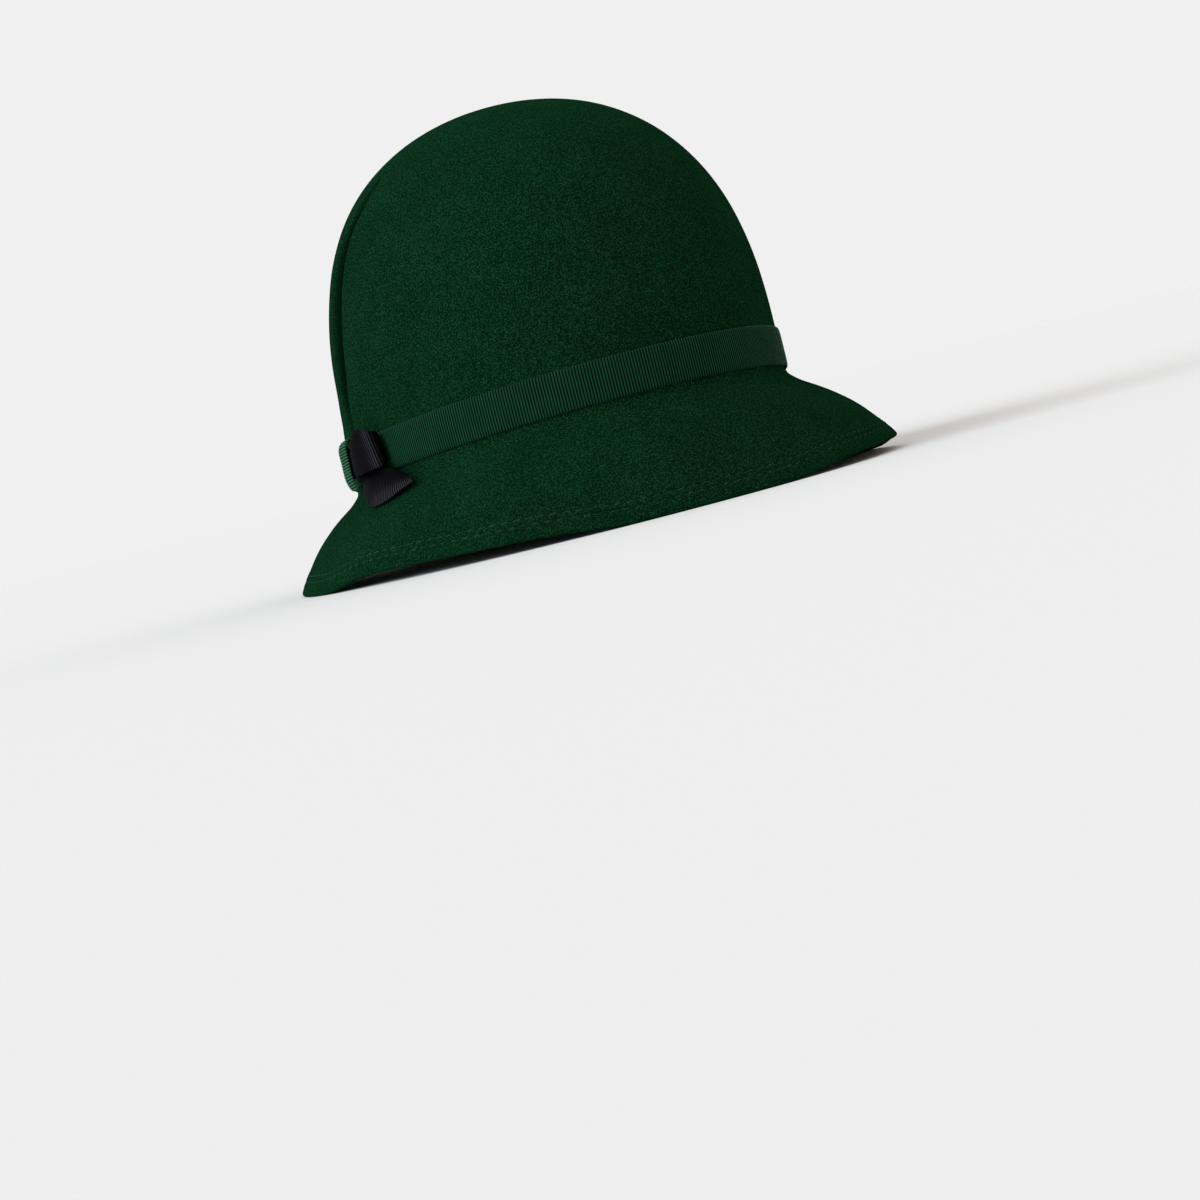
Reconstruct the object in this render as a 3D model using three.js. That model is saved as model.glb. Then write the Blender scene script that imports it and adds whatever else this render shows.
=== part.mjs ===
// A felt cloche hat that rests on its brim, with a ribbon band and a small side trim.
// Millimetres, +Z up, the front of the hat towards -Y and the wearer's left towards +X.
// Angles run round the hat in degrees from the front: +90 is the wearer's left, -90 the right.
import * as THREE from 'three';

// Crown, measured on its outside.
const CROWN_HALF_WIDTH = 84;
const CROWN_HALF_LENGTH = 99;
const CROWN_HEIGHT = 128;
const CROWN_WALL_HEIGHT = 25;
const DOME_RISE_POWER = 2.44;
const DOME_ROUND_POWER = 2.17;
const FELT_THICKNESS = 2.2;

// Head line: where crown and brim meet. It stands higher at the front than at the back.
const HEAD_LINE_HEIGHT = 36;
const HEAD_LINE_RISE = 6.7;

// Brim, with the turned hem along its edge.
const HEM_WIDTH = 9;
const HEM_STEP = 1.5;
const HEM_THICKNESS = 3.8;
const LIP_HEIGHT = 1.4;
const LIP_ROUND = 0.8;

// Brim edge from front to back: its height above the table, and its reach out from the head line
// on the wearer's left and right. The felt lies flat where the height is 0.
const BRIM_EDGE = [
  { angle: 0, height: 0, left: 30, right: 30 },
  { angle: 8, height: 0, left: 30.4, right: 30 },
  { angle: 35, height: 3.4, left: 32.4, right: 29.6 },
  { angle: 62, height: 4.2, left: 35, right: 30 },
  { angle: 88, height: 0, left: 36.5, right: 30.6 },
  { angle: 106, height: 0, left: 36.2, right: 30.5 },
  { angle: 120, height: 2.5, left: 35.4, right: 30.2 },
  { angle: 133, height: 4.4, left: 34.1, right: 29.9 },
  { angle: 150, height: 9.6, left: 32.2, right: 29.9 },
  { angle: 180, height: 11.5, left: 30, right: 30 },
];

// Brim's bow from the head line to its edge: share of the way, and lift above the straight line.
// The felt leaves the head line steeply, then flares and rounds over.
const BRIM_BOW = [
  { share: 0, lift: 0 },
  { share: 0.06, lift: -0.9 },
  { share: 0.12, lift: -0.75 },
  { share: 0.2, lift: -0.1 },
  { share: 0.3, lift: 0.95 },
  { share: 0.45, lift: 1.95 },
  { share: 0.6, lift: 2.35 },
  { share: 0.75, lift: 1.9 },
  { share: 0.88, lift: 1 },
  { share: 1, lift: 0 },
];

// Tuck in the crown's right side, from the band upwards: the fold stands proud behind the groove,
// and the felt that it takes up draws the side in behind it.
const TUCK = [
  { height: 53, angle: -91, ridge: 0, groove: 0, drawn: 0 },
  { height: 66, angle: -90.6, ridge: 1.2, groove: 1.1, drawn: 1.2 },
  { height: 78, angle: -88, ridge: 2, groove: 1.5, drawn: 1.7 },
  { height: 98, angle: -86.2, ridge: 2.3, groove: 1.6, drawn: 1.7 },
  { height: 122, angle: -85, ridge: 2, groove: 1.4, drawn: 1 },
  { height: 138, angle: -80.5, ridge: 1.2, groove: 0.9, drawn: 0.3 },
  { height: 150, angle: -77, ridge: 0, groove: 0, drawn: 0 },
];
const TUCK_RIDGE = { behind: 5, width: 5 };
const TUCK_GROOVE = { behind: 0, width: 2.2 };
const TUCK_DRAWN = { behind: 40, width: 40 };

// Ribbon band and trim.
const RIBBON_THICKNESS = 1;
const RIBBON_GAP = 0.3;
const BAND_WIDTH = 15;
const BAND_LIFT = 0.8;
const TRIM_ANGLE = -80;

// Black loop on the band, from its hidden inner end round the front fold to its hidden outer end:
// distance along the band towards the front at the ribbon's lower and upper edge, distance out from
// the band's face, and the height of both edges from the band's middle.
const LOOP_PATH = [
  { lowAlong: -25.2, highAlong: -25.2, out: 1.05, low: -5, high: 7 },
  { lowAlong: -15, highAlong: -15, out: 0.95, low: -3.6, high: 4.6 },
  { lowAlong: -4, highAlong: -3, out: 0.9, low: -3.4, high: 6.8 },
  { lowAlong: 9.5, highAlong: 7.6, out: 1, low: -4.2, high: 7.2 },
  { lowAlong: 14, highAlong: 11.4, out: 2.4, low: -4.9, high: 7.7 },
  { lowAlong: 13.2, highAlong: 9, out: 4.7, low: -5.3, high: 9.2 },
  { lowAlong: 2, highAlong: 2.4, out: 6, low: -5.5, high: 10.9 },
  { lowAlong: -8.6, highAlong: -7, out: 4.5, low: -5.4, high: 7.2 },
  { lowAlong: -14.2, highAlong: -13.8, out: 2.8, low: -5, high: 4.8 },
  { lowAlong: -25.2, highAlong: -25.2, out: 2.5, low: -5, high: 6.8 },
];

// Green wrap over the loop's ends, from its top edge down: height from the band's middle, distance
// out from the band's face, and the two edges of the ribbon along the band.
const WRAP_PATH = [
  { up: 8.5, out: -0.4, rear: -26.5, front: -15.8 },
  { up: 9.8, out: 1.4, rear: -26.5, front: -15.4 },
  { up: 8, out: 3.6, rear: -26.5, front: -15 },
  { up: 1.4, out: 4.2, rear: -26, front: -14.8 },
  { up: -5.4, out: 4.1, rear: -25.6, front: -15 },
  { up: -8.8, out: 2.6, rear: -25.4, front: -15.4 },
  { up: -8.5, out: 0.9, rear: -25.4, front: -15.8 },
];

// Black tail from the wrap to its slanted end, which stands off the felt. Its upper edge lies on the
// band, with the columns of the loop, and its lower edge lies on the brim: distance along the band,
// distance down the brim's slope and height above the felt.
const TAIL_PATH = [
  { highAlong: -13.6, highOut: 0.9, highUp: -5.6, lowAlong: -13, lowDown: 4.6, lowLift: 0.9 },
  { highAlong: -5, highOut: 0.95, highUp: -4.5, lowAlong: -1, lowDown: 10.5, lowLift: 1.1 },
  { highAlong: 3.3, highOut: 1.1, highUp: -4.9, lowAlong: 12.4, lowDown: 16.8, lowLift: 1.3 },
  { highAlong: 13, highOut: 1.8, highUp: -6.1, lowAlong: 22, lowDown: 16.4, lowLift: 1.8 },
  { highAlong: 20.5, highOut: 3.1, highUp: -8.4, lowAlong: 29, lowDown: 14, lowLift: 2.6 },
  { highAlong: 28, highOut: 4.6, highUp: -11.6, lowAlong: 35.2, lowDown: 12.2, lowLift: 3.5 },
];

// Facets.
const COLUMN_STEP = 5;
const TUCK_COLUMNS = 5;
const TUCK_COLUMN_SPACING = 0.9;
const TUCK_COLUMN_GROWTH = 1.4;
const TUCK_MIDDLE_ANGLE = -84;
const TUCK_REACH = 45;
const DOME_ROWS = 11;
const WALL_ROWS = 2;
const BRIM_SHARES = [0.06, 0.13, 0.22, 0.34, 0.5, 0.68, 0.85, 1];
const INNER_BRIM_SHARES = [0.68, 0.5, 0.34, 0.22, 0.13, 0.06, 0];
const RIBBON_STEPS = 26;
const RIBBON_ROWS = 3;

const FELT_GREEN = new THREE.MeshStandardMaterial({ color: 0x0f3423, roughness: 0.95, metalness: 0 });
const RIBBON_GREEN = new THREE.MeshStandardMaterial({ color: 0x193e2e, roughness: 0.7, metalness: 0 });
const RIBBON_BLACK = new THREE.MeshStandardMaterial({ color: 0x18181c, roughness: 0.6, metalness: 0 });

const { degToRad, lerp } = THREE.MathUtils;

// Smooth curve through one column of a table whose rows rise in the key column. It passes through
// every row and never swings beyond two neighbouring rows.
function tableCurve(table, key, column) {
  const slopes = [];
  for (let i = 0; i < table.length - 1; i += 1) {
    slopes.push((table[i + 1][column] - table[i][column]) / (table[i + 1][key] - table[i][key]));
  }
  const tangent = (i) => {
    const before = slopes[i - 1] ?? 0;
    const after = slopes[i] ?? 0;
    return before * after > 0 ? (2 * before * after) / (before + after) : 0;
  };
  return (value) => {
    const first = table[0];
    const last = table[table.length - 1];
    const at = THREE.MathUtils.clamp(value, first[key], last[key]);
    const next = Math.max(1, table.findIndex((row) => row[key] >= at));
    const span = table[next][key] - table[next - 1][key];
    const t = (at - table[next - 1][key]) / span;
    const rest = 1 - t;
    const start = table[next - 1][column] * (1 + 2 * t) * rest * rest;
    const end = table[next][column] * (3 - 2 * t) * t * t;
    return start + end + span * t * rest * (rest * tangent(next - 1) - t * tangent(next));
  };
}

const edgeHeight = tableCurve(BRIM_EDGE, 'angle', 'height');
const edgeReachLeft = tableCurve(BRIM_EDGE, 'angle', 'left');
const edgeReachRight = tableCurve(BRIM_EDGE, 'angle', 'right');
const brimBow = tableCurve(BRIM_BOW, 'share', 'lift');
const tuckAngle = tableCurve(TUCK, 'height', 'angle');
const tuckRidge = tableCurve(TUCK, 'height', 'ridge');
const tuckGroove = tableCurve(TUCK, 'height', 'groove');
const tuckDrawn = tableCurve(TUCK, 'height', 'drawn');

// Point of the hat's oval outline at an angle, with the outline's outward direction there.
function outline(angle, halfWidth, halfLength) {
  const turn = degToRad(angle);
  const point = new THREE.Vector3(halfWidth * Math.sin(turn), -halfLength * Math.cos(turn), 0);
  const outward = new THREE.Vector3(Math.sin(turn) / halfWidth, -Math.cos(turn) / halfLength, 0);
  return { point, outward: outward.normalize() };
}

function headLine(angle) {
  return HEAD_LINE_HEIGHT + HEAD_LINE_RISE * Math.cos(degToRad(angle));
}

// Angles of the columns of facets: an even step, with extra columns beside the tuck.
function columnAngles() {
  const angles = [];
  for (let k = -TUCK_COLUMNS; k <= TUCK_COLUMNS; k += 1) {
    const offset = TUCK_COLUMN_SPACING * Math.sign(k) * Math.abs(k) ** TUCK_COLUMN_GROWTH;
    angles.push(TUCK_MIDDLE_ANGLE + offset);
  }
  const clear = TUCK_COLUMN_SPACING * TUCK_COLUMNS ** TUCK_COLUMN_GROWTH + COLUMN_STEP / 2;
  for (let angle = -180; angle < 180; angle += COLUMN_STEP) {
    if (Math.abs(angle - TUCK_MIDDLE_ANGLE) > clear) {
      angles.push(angle);
    }
  }
  return angles.sort((a, b) => a - b);
}

// A column leans with the tuck, so its angle changes a little with height.
function columnAngle(column, height) {
  const apart = Math.abs(column - TUCK_MIDDLE_ANGLE);
  if (apart > TUCK_REACH) {
    return column;
  }
  const share = Math.cos((apart / TUCK_REACH) * (Math.PI / 2)) ** 2;
  return column + share * (tuckAngle(height) - TUCK_MIDDLE_ANGLE);
}

// How far the tuck lifts the felt outwards at an angle and height.
function tuckLift(angle, height) {
  const forward = degToRad(angle - tuckAngle(height)) * CROWN_HALF_LENGTH;
  const swell = ({ behind, width }) => Math.exp(-(((forward + behind) / width) ** 2));
  const ridge = tuckRidge(height) * swell(TUCK_RIDGE);
  const groove = tuckGroove(height) * swell(TUCK_GROOVE);
  const drawn = tuckDrawn(height) * swell(TUCK_DRAWN);
  return ridge - groove - drawn;
}

// Point of the crown's upright wall: share 0 is the head line and 1 is where the dome starts.
function wallPoint(column, share, depth) {
  const top = HEAD_LINE_HEIGHT + CROWN_WALL_HEIGHT;
  const angle = columnAngle(column, lerp(headLine(column), top, share));
  const height = lerp(headLine(angle), top, share);
  const { point, outward } = outline(angle, CROWN_HALF_WIDTH - depth, CROWN_HALF_LENGTH - depth);
  point.addScaledVector(outward, tuckLift(angle, height));
  return point.setZ(height);
}

// Point of the dome: share 0 is its foot and 1 is the middle of the top.
function domePoint(column, share, depth) {
  const turn = (share * Math.PI) / 2;
  const scale = Math.cos(turn) ** (2 / DOME_ROUND_POWER);
  const rise = (CROWN_HEIGHT - CROWN_WALL_HEIGHT - depth) * Math.sin(turn) ** (2 / DOME_RISE_POWER);
  const height = HEAD_LINE_HEIGHT + CROWN_WALL_HEIGHT + rise;
  const angle = columnAngle(column, height);
  const { point, outward } = outline(angle, CROWN_HALF_WIDTH - depth, CROWN_HALF_LENGTH - depth);
  point.multiplyScalar(scale).addScaledVector(outward, tuckLift(angle, height));
  return point.setZ(height);
}

// Brim section at an angle, in the plane that stands square to the head line there.
function brimSection(angle) {
  const turned = Math.abs(angle);
  const reach = angle > 0 ? edgeReachLeft(turned) : edgeReachRight(turned);
  const floor = edgeHeight(turned);
  const start = new THREE.Vector2(0, headLine(angle));
  const slope = new THREE.Vector2(reach, floor + LIP_HEIGHT).sub(start);
  const length = slope.length();
  const normal = new THREE.Vector2(-slope.y, slope.x).divideScalar(length);
  return { reach, floor, start, slope, length, normal };
}

// Point at a distance out from the head line and a height, in the section at an angle.
function sectionPoint(angle, out, height) {
  const { point, outward } = outline(angle, CROWN_HALF_WIDTH, CROWN_HALF_LENGTH);
  return point.addScaledVector(outward, out).setZ(height);
}

// Point of the brim: share 0 is the head line and 1 the edge, and lift is the height above its
// upper face, below 0 inside the felt.
function brimPoint(angle, share, lift) {
  const { start, slope, normal } = brimSection(angle);
  const rise = brimBow(share) + lift;
  const spot = start.clone().addScaledVector(slope, share).addScaledVector(normal, rise);
  return sectionPoint(angle, spot.x, spot.y);
}

// Solid between rings of points. A closed row of rings joins its last ring to its first, and an
// open one is closed by a fan at each end. Faces are turned to point outwards.
function skin(rings, closed) {
  const size = rings[0].length;
  const points = rings.flat();
  const faces = [];
  const joints = closed ? rings.length : rings.length - 1;
  for (let r = 0; r < joints; r += 1) {
    const here = r * size;
    const there = ((r + 1) % rings.length) * size;
    for (let c = 0; c < size; c += 1) {
      const d = (c + 1) % size;
      faces.push([here + c, here + d, there + d], [here + c, there + d, there + c]);
    }
  }
  if (!closed) {
    const ends = [rings[0], rings[rings.length - 1]];
    ends.forEach((ring, end) => {
      const middle = points.length;
      const offset = end * (rings.length - 1) * size;
      const sum = ring.reduce((total, point) => total.add(point), new THREE.Vector3());
      points.push(sum.divideScalar(size));
      for (let c = 0; c < size; c += 1) {
        const pair = [offset + c, offset + ((c + 1) % size)];
        faces.push(end === 0 ? [middle, pair[1], pair[0]] : [middle, pair[0], pair[1]]);
      }
    });
  }
  const corner = new THREE.Vector3();
  const volume = faces.reduce((total, [a, b, c]) => {
    return total + corner.crossVectors(points[a], points[b]).dot(points[c]);
  }, 0);
  const outwardFaces = volume > 0 ? faces : faces.map(([a, b, c]) => [a, c, b]);
  const geometry = new THREE.BufferGeometry().setFromPoints(points);
  geometry.setIndex(outwardFaces.flat());
  geometry.computeVertexNormals();
  return geometry;
}

// Felt hood: rings from the top of the dome down its outside, round the hem and up the inside.
function feltBody() {
  const columns = columnAngles();
  const ringOf = (place) => columns.map(place);
  const brimRing = (place) => ringOf((column) => {
    const angle = columnAngle(column, headLine(column));
    return place(angle, brimSection(angle));
  });
  const outside = [];
  for (let row = DOME_ROWS; row > 0; row -= 1) {
    outside.push(ringOf((column) => domePoint(column, row / (DOME_ROWS + 1), 0)));
  }
  for (let row = WALL_ROWS; row >= 0; row -= 1) {
    outside.push(ringOf((column) => wallPoint(column, row / WALL_ROWS, 0)));
  }
  for (const share of BRIM_SHARES) {
    outside.push(brimRing((angle) => brimPoint(angle, share, 0)));
  }
  const hem = [
    brimRing((angle, { reach, floor }) => sectionPoint(angle, reach - LIP_ROUND, floor)),
    brimRing((angle, { reach, floor }) => sectionPoint(angle, reach - HEM_THICKNESS, floor)),
    brimRing((angle, { length }) => brimPoint(angle, 1 - HEM_WIDTH / length, -HEM_THICKNESS)),
    brimRing((angle, { length }) => brimPoint(angle, 1 - (HEM_WIDTH + HEM_STEP) / length, -FELT_THICKNESS)),
  ];
  const inside = [];
  for (const share of INNER_BRIM_SHARES) {
    inside.push(brimRing((angle) => brimPoint(angle, share, -FELT_THICKNESS)));
  }
  for (let row = 1; row <= WALL_ROWS; row += 1) {
    inside.push(ringOf((column) => wallPoint(column, row / WALL_ROWS, FELT_THICKNESS)));
  }
  for (let row = 1; row <= DOME_ROWS; row += 1) {
    inside.push(ringOf((column) => domePoint(column, row / (DOME_ROWS + 1), FELT_THICKNESS)));
  }
  return skin([...outside, ...hem, ...inside], false);
}

// Ribbon band: one flat section carried round the foot of the crown.
function ribbonBand() {
  const sections = columnAngles().map((column) => {
    const angle = columnAngle(column, headLine(column));
    const low = headLine(angle) + BAND_LIFT;
    const near = sectionPoint(angle, RIBBON_GAP, low);
    const far = sectionPoint(angle, RIBBON_GAP + RIBBON_THICKNESS, low);
    const rise = new THREE.Vector3(0, 0, BAND_WIDTH);
    return [near, far, far.clone().add(rise), near.clone().add(rise)];
  });
  return skin(sections, true);
}

function trimAngle(along) {
  return TRIM_ANGLE + THREE.MathUtils.radToDeg(along / CROWN_HALF_LENGTH);
}

// Place beside the band: along it, out from its face and up from its middle.
function besideBand(along, out, up) {
  const angle = trimAngle(along);
  const height = headLine(angle) + BAND_LIFT + BAND_WIDTH / 2 + up;
  return sectionPoint(angle, RIBBON_GAP + RIBBON_THICKNESS + out, height);
}

// Place on the brim: along the band, down the slope and above the felt.
function onBrim(along, down, lift) {
  const angle = trimAngle(along);
  return brimPoint(angle, down / brimSection(angle).length, lift);
}

// Ribbon between two edge curves, given its thickness square to its face.
function ribbon(firstEdge, secondEdge) {
  const first = new THREE.CatmullRomCurve3(firstEdge);
  const second = new THREE.CatmullRomCurve3(secondEdge);
  const sections = [];
  for (let step = 0; step <= RIBBON_STEPS; step += 1) {
    const t = step / RIBBON_STEPS;
    const start = first.getPoint(t);
    const across = second.getPoint(t).sub(start);
    const path = first.getTangent(t).add(second.getTangent(t));
    const face = path.cross(across).setLength(RIBBON_THICKNESS / 2);
    const middle = [];
    for (let row = 0; row < RIBBON_ROWS; row += 1) {
      middle.push(start.clone().addScaledVector(across, row / (RIBBON_ROWS - 1)));
    }
    const upper = middle.map((point) => point.clone().add(face));
    const lower = middle.map((point) => point.clone().sub(face));
    sections.push([...upper, ...lower.reverse()]);
  }
  return skin(sections, false);
}

function bowLoop() {
  const low = LOOP_PATH.map((row) => besideBand(row.lowAlong, row.out, row.low));
  const high = LOOP_PATH.map((row) => besideBand(row.highAlong, row.out, row.high));
  return ribbon(low, high);
}

function bowWrap() {
  const rear = WRAP_PATH.map((row) => besideBand(row.rear, row.out, row.up));
  const front = WRAP_PATH.map((row) => besideBand(row.front, row.out, row.up));
  return ribbon(rear, front);
}

function bowTail() {
  const high = TAIL_PATH.map((row) => besideBand(row.highAlong, row.highOut, row.highUp));
  const low = TAIL_PATH.map((row) => onBrim(row.lowAlong, row.lowDown, row.lowLift));
  return ribbon(high, low);
}

function piece(name, geometry, material) {
  const mesh = new THREE.Mesh(geometry, material);
  mesh.name = name;
  return mesh;
}

const hat = new THREE.Group();
hat.add(piece('felt_body', feltBody(), FELT_GREEN));
hat.add(piece('ribbon_band', ribbonBand(), RIBBON_GREEN));
hat.add(piece('bow_wrap', bowWrap(), RIBBON_GREEN));
hat.add(piece('bow_loop', bowLoop(), RIBBON_BLACK));
hat.add(piece('bow_tail', bowTail(), RIBBON_BLACK));

// The origin is the middle of the hat's box, on the table.
const middle = new THREE.Box3().setFromObject(hat).getCenter(new THREE.Vector3());
hat.position.set(-middle.x, -middle.y, 0);

export default hat;
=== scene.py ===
"""A felt cloche hat with a grosgrain band and a small ribbon trim, resting on its brim.

Metres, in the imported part's frame: +Z up, the front of the hat towards -Y, the wearer's left +X.
Angles run round the hat from the front: +90 degrees is the wearer's left and -90 the right.
"""

import math

import bpy
import numpy as np
from bpy.props import FloatProperty, FloatVectorProperty, IntProperty, PointerProperty
from mathutils import Matrix, Vector


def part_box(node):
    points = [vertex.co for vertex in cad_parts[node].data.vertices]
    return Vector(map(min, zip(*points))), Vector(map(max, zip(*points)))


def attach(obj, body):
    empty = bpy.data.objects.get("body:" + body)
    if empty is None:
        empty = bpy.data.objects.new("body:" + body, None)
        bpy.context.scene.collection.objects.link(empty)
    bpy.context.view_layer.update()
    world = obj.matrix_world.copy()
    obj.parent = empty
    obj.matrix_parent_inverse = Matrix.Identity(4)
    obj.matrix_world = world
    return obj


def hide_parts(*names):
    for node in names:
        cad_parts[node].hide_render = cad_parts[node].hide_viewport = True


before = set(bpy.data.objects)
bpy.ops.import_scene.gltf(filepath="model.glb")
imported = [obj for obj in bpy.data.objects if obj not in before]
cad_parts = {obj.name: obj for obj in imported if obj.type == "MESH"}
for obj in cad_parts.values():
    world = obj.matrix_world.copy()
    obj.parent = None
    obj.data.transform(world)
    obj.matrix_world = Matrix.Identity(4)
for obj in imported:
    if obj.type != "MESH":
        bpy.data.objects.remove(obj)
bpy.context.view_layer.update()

bl_info = {
    "name": "Felt cloche hat",
    "version": (1, 0, 0),
    "blender": (4, 5, 0),
    "location": "3D View > Sidebar > Hat",
    "description": "Dresses the hat's solids: felt, hem stitches, ribbon band and trim",
    "category": "Object",
}

MM = 0.001
BODY = "root"
IMAGE_SIDE = 1200
SENSOR_WIDTH = 36.0
CAMERA_CLIP = (0.001, 200.0)
FLOOR_SIDES = 64

# What the frame gives: the band stands round the crown's oval, a ribbon's thickness and gap off it.
RIBBON_GAP = 0.3 * MM
RIBBON_THICKNESS = 1.0 * MM
BAND_LOW, BAND_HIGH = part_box("ribbon_band")
BAND_HALF = (BAND_HIGH - BAND_LOW) / 2
CROWN_HALF_WIDTH = BAND_HALF.x - RIBBON_GAP - RIBBON_THICKNESS
CROWN_HALF_LENGTH = BAND_HALF.y - RIBBON_GAP - RIBBON_THICKNESS
CROWN_MIDDLE = (BAND_LOW + BAND_HIGH) / 2

# Brim edge from front to back: degrees from the front, millimetres above the table, and the reach
# out from the head line on the wearer's left and right.
BRIM_EDGE = {
    "angle": (0, 8, 35, 62, 88, 106, 120, 133, 150, 180),
    "height": (0, 0, 3.4, 4.2, 0, 0, 2.5, 4.4, 9.6, 11.5),
    "left": (30, 30.4, 32.4, 35, 36.5, 36.2, 35.4, 34.1, 32.2, 30),
    "right": (30, 30, 29.6, 30, 30.6, 30.5, 30.2, 29.9, 29.9, 30),
}

# Brim's bow from the head line to its edge: share of the way, and millimetres above the straight line.
BRIM_BOW = {
    "share": (0, 0.06, 0.12, 0.2, 0.3, 0.45, 0.6, 0.75, 0.88, 1),
    "lift": (0, -0.9, -0.75, -0.1, 0.95, 1.95, 2.35, 1.9, 1, 0),
}

# Tuck in the crown's right side, by height in millimetres: its angle in degrees, how far the fold
# stands proud behind it, how deep its groove is and how far it draws the felt in.
TUCK = {
    "height": (53, 66, 78, 98, 122, 138, 150),
    "angle": (-91, -90.6, -88, -86.2, -85, -80.5, -77),
    "ridge": (0, 1.2, 2, 2.3, 2, 1.2, 0),
    "groove": (0, 1.1, 1.5, 1.6, 1.4, 0.9, 0),
    "drawn": (0, 1.2, 1.7, 1.7, 1, 0.3, 0),
}
TUCK_MIDDLE = math.radians(-84)

# Ribbon paths in millimetres, close to the solids. Along is the way round the band towards the front,
# out the distance from its face and up the height from its middle.
LOOP_PATH = {
    "low_along": (-25.2, -15, -4, 9.5, 14, 13.2, 2, -8.6, -14.2, -25.2),
    "high_along": (-25.2, -15, -3, 7.6, 11.4, 9, 2.4, -7, -13.8, -25.2),
    "out": (1.05, 0.95, 0.9, 1, 2.4, 4.7, 6, 4.5, 2.8, 2.5),
    "low": (-5, -3.6, -3.4, -4.2, -4.9, -5.3, -5.5, -5.4, -5, -5),
    "high": (8.4, 4.6, 6.8, 7.2, 7.7, 9.2, 10.9, 7.2, 4.8, 7.6),
}
WRAP_PATH = {
    "up": (8.5, 9.8, 8, 1.4, -5.4, -8.8, -8.5),
    "out": (-0.4, 1.4, 3.6, 4.2, 4.1, 2.6, 0.9),
    "rear": (-26.5, -26.5, -26.5, -26, -25.6, -25.4, -25.4),
    "front": (-15.8, -15.4, -15, -14.8, -15, -15.4, -15.8),
}
TAIL_PATH = {
    "high_along": (-13.6, -5, 3.3, 13, 20.5, 28),
    "high_out": (0.9, 0.95, 1.1, 1.8, 3.1, 4.6),
    "high_up": (-5.6, -4.5, -4.9, -6.1, -8.4, -11.6),
    "low_along": (-13, -1, 12.4, 22, 29, 35.2),
    "low_down": (4.6, 10.5, 16.8, 16.4, 14, 12.2),
    "low_lift": (0.9, 1.1, 1.3, 1.8, 2.6, 3.5),
}


# Settings that a user would change

def length(name, description, size):
    """A length setting, given in metres."""
    return FloatProperty(
        name=name, description=description, default=size, subtype="DISTANCE", unit="LENGTH", precision=5
    )


def angle(name, description, degrees):
    """An angle setting, given in degrees."""
    return FloatProperty(
        name=name, description=description, default=math.radians(degrees), subtype="ANGLE", unit="ROTATION"
    )


def number(name, description, value):
    """A plain number setting."""
    return FloatProperty(name=name, description=description, default=value, precision=4)


def count(name, description, value):
    """A whole number setting."""
    return IntProperty(name=name, description=description, default=value, min=2)


def colour(name, description, red, green, blue):
    """A colour setting, in linear light."""
    return FloatVectorProperty(
        name=name, description=description, default=(red, green, blue), subtype="COLOR", min=0, max=1
    )


class HatFelt(bpy.types.PropertyGroup):
    """Sizes and colours of the felt body."""

    crown_half_width: length("Crown half width", "Half the crown's outside width", CROWN_HALF_WIDTH)
    crown_half_length: length("Crown half length", "Half the crown's outside length", CROWN_HALF_LENGTH)
    crown_height: length("Crown height", "From the head line to the top", 128 * MM)
    wall_height: length("Wall height", "Upright part of the crown", 25 * MM)
    rise_power: number("Dome rise power", "How square the dome is from the side", 2.44)
    round_power: number("Dome round power", "How square the dome's shoulder is", 2.17)
    thickness: length("Felt thickness", "Thickness of one layer of felt", 2.2 * MM)
    head_height: length("Head line height", "Middle of the head line above the table", 36 * MM)
    head_rise: length("Head line rise", "How much higher the head line is at the front", 6.7 * MM)
    hem_width: length("Hem width", "Width of the felt that is turned under", 9 * MM)
    hem_thickness: length("Hem thickness", "Thickness of the doubled edge", 3.8 * MM)
    hem_swell: length("Hem swell", "How much the turned felt shows through on the outside", 0.35 * MM)
    lip_height: length("Lip height", "Height of the rounded edge", 1.4 * MM)
    groove_depth: length("Stitch groove depth", "How far the stitches pull the felt in", 0.3 * MM)
    unevenness: length("Unevenness", "Slight waves left by the block", 0.25 * MM)
    columns: count("Columns", "Columns of faces round the hat", 420)
    colour_deep: colour("Deep felt", "Felt between the fibres", 0.0008, 0.006, 0.0021)
    colour_light: colour("Light felt", "Felt on top of the fibres", 0.0053, 0.0338, 0.0131)


class HatRibbon(bpy.types.PropertyGroup):
    """Sizes and colours of the grosgrain ribbons."""

    band_width: length("Band width", "Width of the ribbon round the crown", 15 * MM)
    band_lift: length("Band lift", "Band's lower edge above the head line", 0.8 * MM)
    thickness: length("Thickness", "Thickness of a ribbon without its ribs", 0.8 * MM)
    rib_pitch: length("Rib pitch", "Distance from rib to rib", 1.1 * MM)
    rib_height: length("Rib height", "Height of a rib above the valley", 0.3 * MM)
    trim_angle: angle("Trim angle", "Middle of the trim round the hat", -80)
    # The green valleys are darker than the crests: partly the weave, partly painted shade between the ribs.
    green_crest: colour("Green crest", "Tops of the green ribs", 0.0052, 0.0425, 0.019)
    green_valley: colour("Green valley", "Between the green ribs", 0.0002, 0.002, 0.001)
    green_sheen: colour("Green sheen", "Glow of the green ribs seen from the side", 0.15, 0.42, 0.24)
    # Painted light: the wrap is the band's green ribbon, given lighter crests where more light falls on it.
    wrap_lit_crest: colour("Wrap crest", "Tops of the wrap's ribs, a paler green", 0.016, 0.098, 0.052)
    # The black valleys are darker than the crests: partly the weave, partly painted shade between the ribs.
    black_crest: colour("Black crest", "Tops of the black ribs", 0.0061, 0.0058, 0.0069)
    black_valley: colour("Black valley", "Between the black ribs", 0.0003, 0.0003, 0.0004)
    black_sheen: colour("Black sheen", "Glow of the black ribs seen from the side", 0.1, 0.1, 0.11)


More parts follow.
